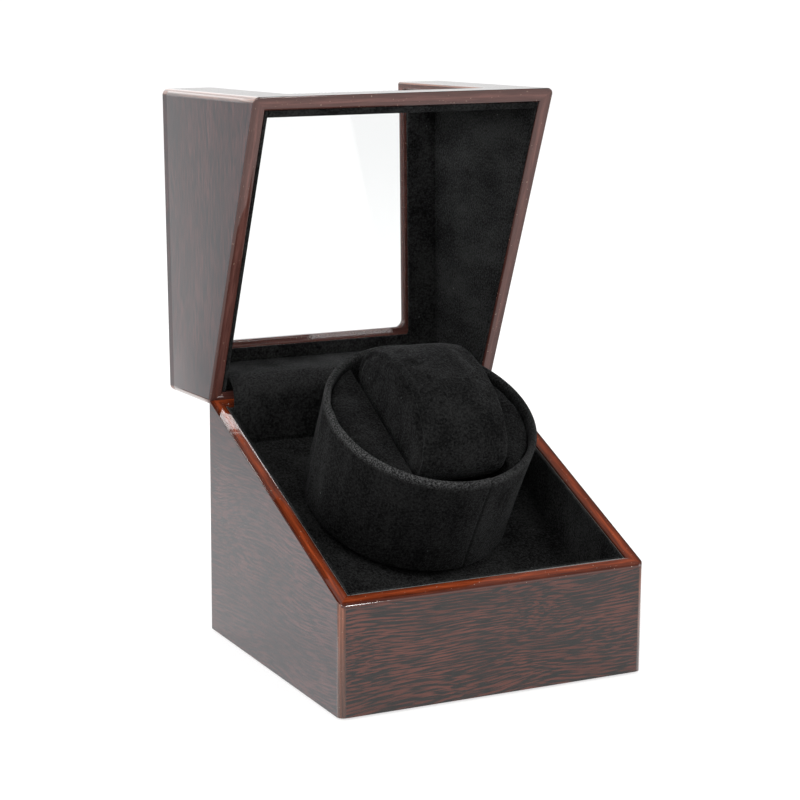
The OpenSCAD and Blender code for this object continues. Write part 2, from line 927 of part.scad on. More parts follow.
module plate_screw_set() {
    for (p = plate_posts) translate([p.x, p.y, 0]) {
        translate([0, 0, top_plate_z - 6]) cylinder(r = screw_r, h = top_plate_t + 6);
        translate([0, 0, top_plate_z + top_plate_t]) cylinder(r = screw_head_r, h = screw_head_t);
    }
}

module plate_screws() {
    color("silver") at_drum() plate_screw_set();
}

module deck_screws() {
    color("silver") at_drum() for (p = deck_posts) translate([p.x, p.y, 0]) {
        translate([0, 0, top_plate_z]) cylinder(r = screw_r, h = -top_plate_z - 1.5);
        translate([0, 0, top_plate_z - 1.4]) cylinder(r = screw_head_r, h = 1.4);
    }
}

// ---------- controls ----------

// From a frame with Z out of the rear wall's outer face to the box
module on_rear(x) {
    translate([x, half_d, control_z]) rotate([-90, 0, 0]) children();
}

module control_board() {
    color("darkgreen") translate([-board_w / 2, board_y - board_t, control_z - board_h / 2])
        cube([board_w, board_t, board_h]);
}

// Panel socket for the low-voltage plug, with its centre contact
module dc_jack() {
    inside = half_d - board_y;
    socket_depth = 8;
    color("black") on_rear(jack_x) {
        difference() {
            union() {
                translate([0, 0, -inside]) cylinder(r = jack_barrel_r, h = inside);
                cylinder(r = 5.5, h = 1.4);
                translate([0, 0, -wall - 2]) cylinder(r = 5.8, h = 2, $fn = 6);
            }
            translate([0, 0, -socket_depth]) cylinder(r = plug_r, h = socket_depth + 4);
        }
        translate([0, 0, -socket_depth - 0.5]) cylinder(r = 1, h = socket_depth - 1);
    }
}

// Rotary selector: its case on the board and its bushing through the wall
module mode_switch() {
    inside = half_d - board_y;
    color("silver") on_rear(0) difference() {
        union() {
            translate([-switch_case / 2, -switch_case / 2, -inside])
                cube([switch_case, switch_case, inside - wall]);
            translate([0, 0, -inside]) cylinder(r = bushing_r, h = inside + 1.2);
        }
        translate([0, 0, -6]) cylinder(r = knob_shaft_r + running_play, h = 12);
    }
}

// Knob with a skirt and a raised pointer, turned fully back on its shaft
module mode_knob() {
    grips = 18;
    lift = 1.6;
    color([0.12, 0.12, 0.12]) on_rear(0) rotate([0, 0, knob_travel / 2 - 180]) {
        translate([0, 0, -5.8]) cylinder(r = knob_shaft_r, h = lift + 5.8);
        translate([0, 0, lift]) difference() {
            union() {
                cylinder(r = knob_r, h = 1.6);
                cylinder(r1 = knob_r - 1, r2 = knob_r - 1.8, h = knob_len);
                translate([-0.5, 2, 1.6]) cube([1, 3.5, knob_len - 1.2]);
            }
            for (i = [1:grips - 1]) rotate([0, 0, 90 + 360 * i / grips])
                translate([knob_r - 0.7, 0, 1.6]) cylinder(r = 0.6, h = knob_len);
        }
    }
}

// Snap-in housing of the on-off rocker
module rocker_housing() {
    depth = 11;
    bezel = 1.2;
    color("black") on_rear(rocker_x) difference() {
        union() {
            translate([-rocker_w / 2, -rocker_h / 2, -depth]) cube([rocker_w, rocker_h, depth]);
            linear_extrude(bezel) rounded_square(rocker_w + 3, rocker_h + 3, 1);
            left_and_right(3.5) translate([0, 0, -depth - 0.65]) cube([tab_w, tab_h, 1.5], center = true);
        }
        translate([-rocker_w / 2 + 1, -rocker_h / 2 + 1, -depth + 2])
            cube([rocker_w - 2, rocker_h - 2, depth]);
        rotate([90, 0, 0]) cylinder(r = rocker_pin_r + running_play, h = rocker_h - 0.6, center = true);
    }
}

// Rocker, drawn tipped to its off side
module power_rocker() {
    length = rocker_w - 2.6;
    width = rocker_h - 2.4;
    color([0.1, 0.1, 0.1]) on_rear(rocker_x) rotate([0, -rocker_throw / 2, 0]) {
        rotate([90, 0, 0]) cylinder(r = rocker_pin_r, h = rocker_h - 0.8, center = true);
        rotate([90, 0, 0]) linear_extrude(width, center = true) difference() {
            translate([-length / 2, -4]) square([length, 6.6]);
            translate([0, 14.4]) circle(12.6);
            for (x = [-1, 1])
                translate([x * (length / 2 + 0.3), -4]) rotate(x * 22) square([2, 9], center = true);
        }
    }
}

base_front_panel();
base_rear_panel();
base_left_panel();
base_right_panel();
base_bottom_board();
base_felt();
base_front_lining();
base_rear_lining();
base_left_lining();
base_right_lining();
deck_board();
deck_cleats();
lid_front_panel();
lid_rear_panel();
lid_left_panel();
lid_right_panel();
lid_top_panel();
window_pane();
lid_front_lining();
lid_rear_lining();
lid_left_lining();
lid_right_lining();
lid_top_lining();
hinge_base_leaf_left();
hinge_base_leaf_right();
hinge_lid_leaf_left();
hinge_lid_leaf_right();
hinge_pins();
hinge_base_screws();
hinge_lid_screws();
hinge_flap();
drum_shell();
drum_insert_left();
drum_insert_right();
slot_floor();
drum_hub();
hub_screws();
watch_cushion();
output_shaft();
output_bushes();
output_gear();
mid_shaft();
mid_gear();
pinion_shaft();
belt_pulley();
drive_belt();
motor_pulley();
motor_shaft();
motor_can();
motor_screws();
gear_top_plate();
gear_bottom_plate();
plate_screws();
deck_screws();
control_board();
dc_jack();
mode_switch();
mode_knob();
rocker_housing();
power_rocker();
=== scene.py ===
"""Looks of the watch winder box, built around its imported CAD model."""
import json
import math

import bmesh
import bpy
from mathutils import Matrix, Vector, noise


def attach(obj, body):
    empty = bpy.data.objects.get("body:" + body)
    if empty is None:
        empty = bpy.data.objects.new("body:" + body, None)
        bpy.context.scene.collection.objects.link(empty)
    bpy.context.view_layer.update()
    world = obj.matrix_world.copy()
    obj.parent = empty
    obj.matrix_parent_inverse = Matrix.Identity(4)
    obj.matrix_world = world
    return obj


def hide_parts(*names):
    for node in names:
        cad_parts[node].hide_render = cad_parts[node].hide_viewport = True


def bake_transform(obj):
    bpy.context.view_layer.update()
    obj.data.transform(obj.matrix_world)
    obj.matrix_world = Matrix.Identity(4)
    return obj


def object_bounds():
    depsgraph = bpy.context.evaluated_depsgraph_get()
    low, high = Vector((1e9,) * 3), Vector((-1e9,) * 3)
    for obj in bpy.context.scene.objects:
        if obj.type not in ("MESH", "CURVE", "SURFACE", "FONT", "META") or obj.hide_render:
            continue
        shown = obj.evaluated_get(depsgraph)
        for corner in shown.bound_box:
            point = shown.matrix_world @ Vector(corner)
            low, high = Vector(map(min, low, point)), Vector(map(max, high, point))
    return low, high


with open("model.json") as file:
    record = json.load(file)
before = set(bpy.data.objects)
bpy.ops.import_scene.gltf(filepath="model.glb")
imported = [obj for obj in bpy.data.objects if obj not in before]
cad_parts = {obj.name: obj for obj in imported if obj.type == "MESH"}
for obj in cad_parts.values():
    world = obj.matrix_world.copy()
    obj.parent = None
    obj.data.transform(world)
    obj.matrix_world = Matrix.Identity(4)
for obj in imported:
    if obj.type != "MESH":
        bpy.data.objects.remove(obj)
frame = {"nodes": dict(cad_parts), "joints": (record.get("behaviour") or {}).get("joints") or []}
cad_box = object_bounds()

MM = 0.001
joints = {joint["name"]: joint for joint in frame["joints"]}

# ---------- places, from the frame ----------

hinge = Vector(joints["lid_hinge"]["pos_m"])
open_angle = math.radians(-joints["lid_hinge"]["range_deg"][0])
drum_foot = Vector(joints["drum_spin"]["pos_m"])
drum_axis = Vector(joints["drum_spin"]["axis"])
drum_tilt = math.atan2(-drum_axis.y, drum_axis.z)

AT_BASE = Matrix.Identity(4)
AT_LID = Matrix.Translation(hinge) @ Matrix.Rotation(-open_angle, 4, "X") @ Matrix.Translation(-hinge)
AT_DRUM = Matrix.Translation(drum_foot) @ Matrix.Rotation(drum_tilt, 4, "X")


def local_box(node, place):
    """Lowest and highest corner of a CAD node, measured in a place's own frame."""
    back = place.inverted()
    points = [back @ vertex.co for vertex in frame["nodes"][node].data.vertices]
    low = Vector([min(p[i] for p in points) for i in range(3)])
    high = Vector([max(p[i] for p in points) for i in range(3)])
    return low, high


front_low, front_high = local_box("base_front_panel", AT_BASE)
half_w = -local_box("base_left_panel", AT_BASE)[0].x
half_d = -front_low.y
wall_t = half_d + local_box("base_bottom_board", AT_BASE)[0].y
lid_ceiling = local_box("lid_top_panel", AT_LID)[0].z
lid_top = local_box("lid_top_panel", AT_LID)[1].z
split_slope = (hinge.z - front_high.z) / (hinge.y - front_high.y)
split_normal = Vector((0, -split_slope, 1)).normalized()


def above_split(point):
    """Signed distance of a point of the closed box from the split plane."""
    return (point - hinge).dot(split_normal)


# ---------- material nodes ----------


class Shader:
    """A material with one Principled node, and short ways to add more nodes."""

    def __init__(self, name, **inputs):
        self.material = bpy.data.materials.new(name)
        self.material.use_nodes = True
        self.tree = self.material.node_tree
        self.surface = self.tree.nodes["Principled BSDF"]
        self.set(self.surface, inputs)

    def set(self, node, inputs):
        for name, value in inputs.items():
            socket = node.inputs[name.replace("_", " ") if isinstance(name, str) else name]
            if isinstance(value, bpy.types.NodeSocket):
                self.tree.links.new(value, socket)
            else:
                socket.default_value = value

    def add(self, kind, inputs=None, **settings):
        node = self.tree.nodes.new("ShaderNode" + kind)
        for name, value in settings.items():
            setattr(node, name, value)
        self.set(node, inputs or {})
        return node

    def place(self, scale=(1, 1, 1), turn=(0, 0, 0), coordinates=None):
        """Object coordinates, scaled and turned."""
        if coordinates is None:
            coordinates = self.add("TexCoord").outputs["Object"]
        mapping = self.add("Mapping", {"Vector": coordinates, "Scale": scale, "Rotation": turn})
        return mapping.outputs["Vector"]

    def noise(self, vector, scale, detail=2.0, roughness=0.5, distortion=0.0):
        node = self.add(
            "TexNoise",
            {"Vector": vector, "Scale": scale, "Detail": detail, "Roughness": roughness,
             "Distortion": distortion},
        )
        return node.outputs["Fac"]

    def ramp(self, value, *stops):
        """Colour ramp through (position, colour) stops. A colour may be one grey number."""
        node = self.add("ValToRGB", {"Fac": value})
        points = node.color_ramp.elements
        while len(points) < len(stops):
            points.new(0.5)
        for point, (position, colour) in zip(points, stops):
            point.position = position
            grey = isinstance(colour, (int, float))
            point.color = (colour, colour, colour, 1) if grey else (*colour, 1)
        return node.outputs["Color"]

    def math(self, operation, a, b=0.0):
        return self.add("Math", {0: a, 1: b}, operation=operation).outputs["Value"]

    def swing(self, base, value, amount):
        """A base value, swung up and down by a noise that lies between 0 and 1."""
        centred = self.math("SUBTRACT", value, 0.5)
        return self.math("ADD", base, self.math("MULTIPLY", centred, amount))

    def weigh(self, a, b, share):
        """Two values added, b with its share and a with the rest."""
        return self.math("ADD", self.math("MULTIPLY", a, 1 - share), self.math("MULTIPLY", b, share))

    def mix(self, factor, a, b):
        node = self.add("Mix", data_type="RGBA")
        self.set(node, {0: factor})
        for index, value in ((6, a), (7, b)):
            if isinstance(value, tuple):
                value = (*value, 1)
            self.set(node, {index: value})
        return node.outputs[2]

    def bump(self, height, strength, distance):
        node = self.add("Bump", {"Height": height, "Strength": strength, "Distance": distance})
        self.set(self.surface, {"Normal": node.outputs["Normal"]})


# The axis that a grain runs along
GRAIN_X, GRAIN_Y = 0, 1


def shade(colour, share):
    return tuple(share * channel for channel in colour)


def wandering_grain(shader, coordinates, slow, stretch):
    """Coordinates drawn out along the grain, after a gentle bend and a slight rise."""
    wander = shader.add(
        "TexNoise", {"Vector": shader.place(slow, coordinates=coordinates), "Scale": 36.0, "Detail": 1.0}
    ).outputs["Color"]
    offset = shader.add("VectorMath", {0: wander, 1: (0.5, 0.5, 0.5)}, operation="SUBTRACT")
    offset = shader.add("VectorMath", {0: offset.outputs["Vector"], "Scale": 11 * MM}, operation="SCALE")
    bent = shader.add("VectorMath", {0: coordinates, 1: offset.outputs["Vector"]}, operation="ADD")
    rising = shader.place(turn=(0, math.radians(3), 0), coordinates=bent.outputs["Vector"])
    return shader.place(stretch, coordinates=rising)


def veneer(name, grain, contrast, dark, light):
    """Dark lacquered veneer: fine red-brown lines that wander along the grain axis and break up."""
    shader = Shader(
        name, Roughness=0.5, Coat_Weight=1.0, Coat_Roughness=0.06, Coat_IOR=1.52, Specular_IOR_Level=0.0
    )
    slow = [0.4 if axis == grain else 1.0 for axis in range(3)]
    stretch = [0.06 if axis == grain else 1.0 for axis in range(3)]
    coordinates = shader.add("TexCoord").outputs["Object"]
    along = wandering_grain(shader, coordinates, slow, stretch)
    lines = shader.add(
        "TexWave",
        {"Vector": along, "Scale": 480.0, "Distortion": 5.0, "Detail": 2.0, "Detail Scale": 1.6},
        bands_direction="DIAGONAL",
    ).outputs["Fac"]
    streaks = shader.noise(along, 1750, 1.5, 0.45)
    fine = shader.noise(along, 3600, 2.0, 0.6)
    patches = shader.noise(shader.place(slow, coordinates=coordinates), 75, 1.0)
    height = shader.weigh(lines, streaks, 0.84)
    height = shader.swing(height, patches, 0.07)
    height = shader.swing(height, fine, 0.12)
    mask = shader.ramp(height, (0.44, 0.0), (0.62, contrast))
    ground = shader.ramp(fine, (0.3, shade(dark, 0.65)), (0.7, shade(dark, 1.35)))
    line = shader.ramp(patches, (0.3, shade(light, 0.75)), (0.7, shade(light, 1.25)))
    shader.set(shader.surface, {"Base Color": shader.mix(mask, ground, line)})
    ripple = shader.noise(coordinates, 160, 1.0)
    shader.bump(ripple, 0.05, 0.0004)
    return shader.material


def lacquered_edge(name, slow, dark, light, stops):
    """Lacquered solid wood, streaked along the axes that slow squeezes.

    stops is a ramp from the wall's outer face (0) to its inner one (1), which says how light it is: painted
    light and shade across the wood.
    """
    shader = Shader(
        name, Roughness=0.4, Coat_Weight=1.0, Coat_Roughness=0.045, Coat_IOR=1.5, Specular_IOR_Level=0.0
    )
    coordinates = shader.add("TexCoord").outputs["Object"]
    streaks = shader.noise(shader.place(slow, coordinates=coordinates), 1400, 3.0, 0.6)
    cloud = shader.noise(shader.place(coordinates=coordinates), 90, 2.0)
    away = shader.add("SeparateXYZ", {"Vector": coordinates}).outputs
    from_side = shader.math("SUBTRACT", half_w, shader.math("ABSOLUTE", away["X"]))
    from_front = shader.math("SUBTRACT", half_d, shader.math("ABSOLUTE", away["Y"]))
    inward = shader.math("MULTIPLY", shader.math("MINIMUM", from_side, from_front), 1 / wall_t)
    # Painted light and shade across the wall's thickness, set by stops, with the wood's own streaks on top
    painted_shading = shader.ramp(shader.swing(inward, cloud, 0.3), *stops)
    tone = shader.math("MULTIPLY", painted_shading, shader.ramp(streaks, (0.35, 0.35), (0.65, 1.0)))
    specks = shader.noise(shader.place(coordinates=coordinates), 1500, 1.0)
    dust = shader.ramp(specks, (0.745, 0.0), (0.765, 1.0))
    wood = shader.mix(tone, dark, light)
    shader.set(shader.surface, {"Base Color": shader.mix(dust, wood, (0.30, 0.20, 0.15))})
    shader.bump(shader.math("ADD", cloud, dust), 0.02, 0.0003)
    return shader.material


def painted_pile_sheen(shader, cloth, brushed, height, reach, grey, side):
    """The cloth's colour, with a grey sheen highlight painted in: see velvet."""
    coordinates = shader.add("TexCoord").outputs["Object"]
    level = shader.add("SeparateXYZ", {"Vector": coordinates}).outputs["Z"]
    # A painted sheen highlight: grey near the given height, broken up by the pile, brightest towards side
    away = shader.math("ABSOLUTE", shader.math("SUBTRACT", level, height))
    ragged = shader.swing(shader.math("MULTIPLY", away, 1 / reach), brushed, 0.8)
    fuzz = shader.ramp(shader.noise(shader.place(), 1900, 3.0, 0.8), (0.47, 0.05), (0.60, 1.0))
    sheen_share = shader.math("MULTIPLY", shader.ramp(ragged, (0.25, 1.0), (1.0, 0.0)), fuzz)
    offset = shader.add("VectorMath", {0: coordinates, 1: side}, operation="DISTANCE")
    near_side = shader.math("MULTIPLY", offset.outputs["Value"], 1 / (80 * MM))
    sheen_share = shader.math("MULTIPLY", sheen_share, shader.ramp(near_side, (0.2, 1.0), (0.75, 0.3)))
    return shader.mix(sheen_share, cloth, (grey, grey * 1.01, grey * 1.01))


def velvet(name, tone, sheen, painted_sheen=None):
    """Black velvet: a dark pile with a soft sheen, brushed patches and specks of lint.

    The last argument, if given, is (height, reach, grey, side): round that height, in the piece's own
    frame, a grey highlight of sheen is painted on the pile, brightest towards the point named by side.
    """
    shader = Shader(name, Roughness=1.0, Specular_IOR_Level=0.03, Sheen_Roughness=0.38)
    brushed = shader.noise(shader.place((1, 1, 0.5)), 70, 3.0, 0.6)
    pile = shader.noise(shader.place(), 1250, 4.0, 0.75)
    level = shader.weigh(brushed, pile, 0.7)
    dark = shade((0.0016, 0.0017, 0.0017), tone)
    light = shade((0.0145, 0.0148, 0.0146), tone)
    cloth = shader.ramp(level, (0.42, dark), (0.60, light))
    weight = shader.ramp(level, (0.42, sheen * 0.3), (0.60, sheen * 1.7))
    # A painted sheen highlight, where one is asked for
    if painted_sheen:
        cloth = painted_pile_sheen(shader, cloth, brushed, *painted_sheen)
    speck = shader.add("TexVoronoi", {"Vector": shader.place(), "Scale": 300.0, "Randomness": 1.0})
    chosen = shader.ramp(speck.outputs["Color"], (0.79, 0.0), (0.83, 1.0))
    near = shader.ramp(speck.outputs["Distance"], (0.05, 1.0), (0.11, 0.0))
    lint = shader.math("MULTIPLY", chosen, near)
    shader.set(
        shader.surface,
        {
            "Base Color": shader.mix(lint, cloth, (0.12, 0.125, 0.125)),
            "Sheen Tint": (0.62, 0.64, 0.66, 1),
            "Sheen Weight": weight,
        },
    )
    shader.bump(pile, 0.7, 0.0008)
    return shader.material


def clear_acrylic():
    shader = Shader(
        "clear_acrylic", Base_Color=(0.95, 0.96, 0.96, 1), Roughness=0.0, IOR=1.49, Transmission_Weight=1.0
    )
    return shader.material


def metal(name, colour, roughness, brushed=(1, 1, 1)):
    shader = Shader(name, Metallic=1.0)
    scratches = shader.noise(shader.place(brushed), 900, 3.0, 0.6)
    shader.set(
        shader.surface,
        {
            "Base Color": shader.ramp(scratches, (0.3, shade(colour, 0.78)), (0.7, colour)),
            "Roughness": shader.ramp(scratches, (0.3, roughness * 0.7), (0.7, min(1.0, roughness * 1.4))),
        },
    )
    shader.bump(scratches, 0.1, 0.0002)
    return shader.material


def moulded(name, colour, roughness):
    """Moulded plastic with a fine spark-eroded grain."""
    shader = Shader(name, Specular_IOR_Level=0.5)
    texture = shader.noise(shader.place(), 1500, 2.0, 0.6)
    cloud = shader.noise(shader.place(), 60, 2.0)
    shader.set(
        shader.surface,
        {
            "Base Color": shader.ramp(cloud, (0.3, shade(colour, 0.82)), (0.7, colour)),
            "Roughness": shader.ramp(texture, (0.3, roughness * 0.85), (0.7, min(1.0, roughness * 1.15))),
        },
    )
    shader.bump(texture, 0.18, 0.0002)
    return shader.material


def plywood():
    shader = Shader("plywood", Roughness=0.75)
    grain = shader.noise(shader.place((0.1, 1, 1)), 700, 4.0, 0.65)
    wood = shader.ramp(grain, (0.3, (0.16, 0.085, 0.042)), (0.7, (0.30, 0.18, 0.10)))
    shader.set(shader.surface, {"Base Color": wood})
    shader.bump(grain, 0.3, 0.0003)
    return shader.material


def felt():
    shader = Shader("felt", Roughness=1.0, Sheen_Weight=0.4)
    fibres = shader.noise(shader.place(), 1100, 5.0, 0.75, 1.5)
    wool = shader.ramp(fibres, (0.3, (0.006, 0.006, 0.007)), (0.7, (0.03, 0.03, 0.032)))
    shader.set(shader.surface, {"Base Color": wool})
    shader.bump(fibres, 0.9, 0.0006)
    return shader.material


def circuit_board():
    """Green solder mask with copper tracks showing through."""
    shader = Shader("circuit_board", Roughness=0.35, Coat_Weight=0.4)
    cells = shader.add(
        "TexVoronoi", {"Vector": shader.place(), "Scale": 240.0, "Randomness": 0.6},
        feature="DISTANCE_TO_EDGE", distance="EUCLIDEAN",
    ).outputs["Distance"]
    track = shader.ramp(cells, (0.05, 1.0), (0.08, 0.0))
    shader.set(shader.surface, {"Base Color": shader.mix(track, (0.010, 0.075, 0.028), (0.03, 0.17, 0.06))})
    shader.bump(track, 0.3, 0.0001)
    return shader.material


VENEER_X = veneer("veneer_along_x", GRAIN_X, 1.0, (0.0092, 0.0080, 0.0076), (0.071, 0.0212, 0.0148))
VENEER_Y = veneer("veneer_along_y", GRAIN_Y, 0.68, (0.0124, 0.0106, 0.0142), (0.074, 0.0290, 0.0280))
# Painted light and shade across a rim: darkest at its rounded edges, lightest across its middle
ACROSS_RIM = ((0.05, 0.08), (0.3, 0.45), (0.52, 1.0), (0.7, 0.55), (0.95, 0.2))
# Reddish solid wood round the corner, with painted highlight and shade bands across its rounding
ROUND_THE_CORNER = ((0.0, 0.25), (0.06, 1.0), (0.16, 0.45), (0.3, 0.9))
CORNER_WOOD = lacquered_edge(
    "corner_wood", (1, 1, 0.02), (0.050, 0.018, 0.011), (0.215, 0.082, 0.050), ROUND_THE_CORNER
)
ALONG_X, ALONG_Y = (0.06, 1, 1), (1, 0.06, 0.06)
BASE_RIM = [
    lacquered_edge(f"base_rim_{name}", slow, (0.028, 0.005, 0.002), (0.250, 0.044, 0.013), ACROSS_RIM)
    for name, slow in (("x", ALONG_X), ("y", ALONG_Y))
]
# The lid rims' lighter colour is mauve: a painted reflection of the bright room on the red-brown wood
LID_RIM = [
    lacquered_edge(f"lid_rim_{name}", slow, (0.040, 0.015, 0.012), (0.115, 0.047, 0.039), ACROSS_RIM)
    for name, slow in (("x", ALONG_X), ("y", ALONG_Y))
]
# A painted grey-green highlight along the top edge of the base's velvet linings, next to the wood
PAINTED_EDGE_HIGHLIGHT = moulded("painted_edge_highlight", (0.075, 0.085, 0.080), 0.8)
VELVET = velvet("lining_velvet", 1.2, 0.050)
# The flap gets a band of painted sheen highlight round its bend over the hinges
FLAP_VELVET = velvet("flap_velvet", 1.05, 0.045, (hinge.z + 6 * MM, 6 * MM, 0.022, hinge))
DRUM_VELVET = velvet("drum_velvet", 0.85, 0.040)
# The drum's lip gets a painted sheen highlight round its top, brightest towards its front left
lip = local_box("drum_shell", AT_DRUM)[1]
LIP_VELVET = velvet(
    "drum_lip_velvet", 0.80, 0.036, (lip.z, 3.2 * MM, 0.070, (-0.85 * lip.x, -0.5 * lip.x, lip.z))
)
CLEAR = clear_acrylic()
BRASS = metal("brass", (0.80, 0.58, 0.26), 0.28)
STEEL = metal("steel", (0.62, 0.62, 0.63), 0.3, (1, 1, 0.1))
GEAR_NYLON = moulded("gear_nylon", (0.78, 0.75, 0.66), 0.45)
BLACK_NYLON = moulded("black_nylon", (0.022, 0.022, 0.024), 0.5)
BLACK_PLASTIC = moulded("black_plastic", (0.012, 0.012, 0.013), 0.38)
BELT_RUBBER = moulded("belt_rubber", (0.014, 0.014, 0.014), 0.8)
PLYWOOD = plywood()
FELT = felt()
CIRCUIT = circuit_board()

# ---------- mesh helpers ----------


def copy_of(node, place):
    """A clean copy of a CAD node's surface, in a place's own frame."""
    mesh = bmesh.new()
    mesh.from_mesh(frame["nodes"][node].data)
    bmesh.ops.transform(mesh, matrix=place.inverted(), verts=mesh.verts)
    bmesh.ops.remove_doubles(mesh, verts=mesh.verts, dist=0.002 * MM)
    bmesh.ops.dissolve_limit(mesh, angle_limit=math.radians(0.5), verts=mesh.verts, edges=mesh.edges)
    mesh.normal_update()
    return mesh


def round_edges(mesh, width, segments=3, keep=lambda edge: False):
    """Rounds every sharp edge that keep() doesn't hold back."""
    sharp = [
        edge for edge in mesh.edges
        if len(edge.link_faces) == 2
        and abs(edge.calc_face_angle(0)) > math.radians(32)
        and not keep(edge)
    ]
    bmesh.ops.bevel(
        mesh, geom=sharp, offset=width, offset_type="OFFSET", segments=segments,
        profile=0.5, affect="EDGES", clamp_overlap=True,
    )
    mesh.normal_update()


def make_object(name, mesh, materials, place=AT_BASE, sharp_angle=40):
    """An object from a bmesh, shaded smooth but for its sharp edges."""
    data = bpy.data.meshes.new(name)
    mesh.to_mesh(data)
    mesh.free()
    for material in materials:
        data.materials.append(material)
    data.shade_smooth()
    data.set_sharp_from_angle(angle=math.radians(sharp_angle))
    piece = bpy.data.objects.new(name, data)
    bpy.context.scene.collection.objects.link(piece)
    piece.matrix_world = place
    return piece


def flat_normals(piece):
    """Weights normals by face area, so that rounded edges don't shade the flat faces."""
    modifier = piece.modifiers.new("flat_faces", "WEIGHTED_NORMAL")
    modifier.keep_sharp = True
    return piece


def finish_piece(piece, body, slot, *nodes):
    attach(piece, body)
    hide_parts(*nodes)
    return piece


def apply_modifiers(piece):
    """Replaces a piece's mesh with its evaluated one."""
    bpy.context.view_layer.update()
    evaluated = piece.evaluated_get(bpy.context.evaluated_depsgraph_get())
    data = bpy.data.meshes.new_from_object(evaluated)
    piece.modifiers.clear()
    piece.data = data
    return piece


# ---------- the case ----------

# A panel's materials, in the order of its slots
FACE_ALONG_X, FACE_ALONG_Y, ROUND_CORNER, CUT_EDGE = range(4)


def is_mitre(face):
    """A mitred joint's face: upright, at 45 degrees, through the box's corner."""
    normal, centre = face.normal, face.calc_center_median()
    diagonal = abs(abs(normal.x) - abs(normal.y)) < 0.02 and abs(normal.z) < 0.02
    return diagonal and normal.x * normal.y * centre.x * centre.y < 0


def is_glued(edge, body):
    """An edge of a glued joint or of the underside, which stays sharp."""
    level = lid_ceiling if body == "lid" else front_low.z
    at_joint = all(abs(vertex.co.z - level) < 0.1 * MM for vertex in edge.verts)
    return at_joint or any(is_mitre(face) for face in edge.link_faces)


def finish_of(face, grain):
    """Which of a panel's materials a face takes."""
    centre, normal = face.calc_center_median(), face.normal
    on_rim = abs(above_split(centre)) < 1.1 * MM and abs(normal.dot(split_normal)) > 0.35
    inside = min(half_w - abs(centre.x), half_d - abs(centre.y), lid_top - centre.z)
    if on_rim or inside > 0.8 * MM:
        return CUT_EDGE
    if abs(normal.x) > 0.12 and abs(normal.y) > 0.12 and abs(normal.z) < 0.3:
        return ROUND_CORNER
    return FACE_ALONG_Y if grain == GRAIN_Y or abs(normal.x) > 0.72 else FACE_ALONG_X


def wood_panel(node, body, place, grain, rims, edge=1.0 * MM):
    """A panel veneered outside, with solid wood at its round corners, its rim and its cut edges."""
    mesh = copy_of(node, place)
    round_edges(mesh, edge, 4, lambda candidate: is_glued(candidate, body))
    for face in mesh.faces:
        face.material_index = finish_of(face, grain)
    materials = [VENEER_X, VENEER_Y, CORNER_WOOD, rims[grain]]
    piece = make_object(node + "_veneered", mesh, materials, place)
    return finish_piece(flat_normals(piece), body, "veneer", node)


for side in ("front", "rear"):
    wood_panel(f"base_{side}_panel", "base", AT_BASE, GRAIN_X, BASE_RIM)
    wood_panel(f"lid_{side}_panel", "lid", AT_LID, GRAIN_X, LID_RIM)
for side in ("left", "right"):
    wood_panel(f"base_{side}_panel", "base", AT_BASE, GRAIN_Y, BASE_RIM)
    wood_panel(f"lid_{side}_panel", "lid", AT_LID, GRAIN_Y, LID_RIM)
wood_panel("lid_top_panel", "lid", AT_LID, GRAIN_X, LID_RIM, 1.2 * MM)

# ---------- linings ----------


def velvet_board(node, body, place, edge=0.45 * MM, edge_highlight=False):
    """A paperboard wrapped in velvet, its edges soft; if asked, its top edge against the wood gets a
    painted grey-green highlight.
    """
    mesh = copy_of(node, place)
    round_edges(mesh, edge, 3)
    top = max(above_split(vertex.co) for vertex in mesh.verts)
    for face in mesh.faces:
        centre = face.calc_center_median()
        from_wall = min(half_w - abs(centre.x), half_d - abs(centre.y)) - wall_t
        at_top = above_split(centre) > top - 0.5 * MM
        # Top edge faces against the wood take the painted highlight
        is_highlit = edge_highlight and at_top and from_wall < 0.4 * MM
        face.material_index = int(is_highlit)
    piece = make_object(node + "_velvet", mesh, [VELVET, PAINTED_EDGE_HIGHLIGHT], place)
    return finish_piece(flat_normals(piece), body, "velvet", node)


for side in ("front", "rear", "left", "right"):
    velvet_board(f"base_{side}_lining", "base", AT_BASE, edge_highlight=True)
for side in ("front", "left", "right", "top"):
    velvet_board(f"lid_{side}_lining", "lid", AT_LID)
velvet_board("lid_rear_lining", "lid", AT_LID, 1.5 * MM)
velvet_board("deck_board", "base", AT_BASE, 0.8 * MM)


def window_pane():
    mesh = copy_of("window_pane", AT_LID)
    round_edges(mesh, 0.25 * MM, 2)
    piece = make_object("window_pane_clear", mesh, [CLEAR], AT_LID)
    # Lamps behind the clear pane light the inside through it
    piece.visible_shadow = False
    return finish_piece(flat_normals(piece), "lid", "acrylic", "window_pane")


window_pane()

# ---------- drum ----------

SEAM_ANGLE = math.radians(-80)
FOLD_ANGLE = math.radians(170)
# Columns round the drum, closer together by the seam
DRUM_ANGLES = sorted(
    [math.radians(1.25 * i) for i in range(-144, 144)]
    + [SEAM_ANGLE + math.radians(0.2 * i + 0.1) for i in range(-15, 15)]
)

shell_low, shell_high = local_box("drum_shell", AT_DRUM)
insert_low, insert_high = local_box("drum_insert_right", AT_DRUM)
drum_r = shell_high.x
shell_t = drum_r - insert_high.x - 0.1 * MM
lip_r = shell_t / 2
foot_r = 1.4 * MM
floor_top = insert_low.z
hub_r = local_box("drum_hub", AT_DRUM)[1].x / 2


def angle_between(a, b):
    return (a - b + math.pi) % (2 * math.pi) - math.pi


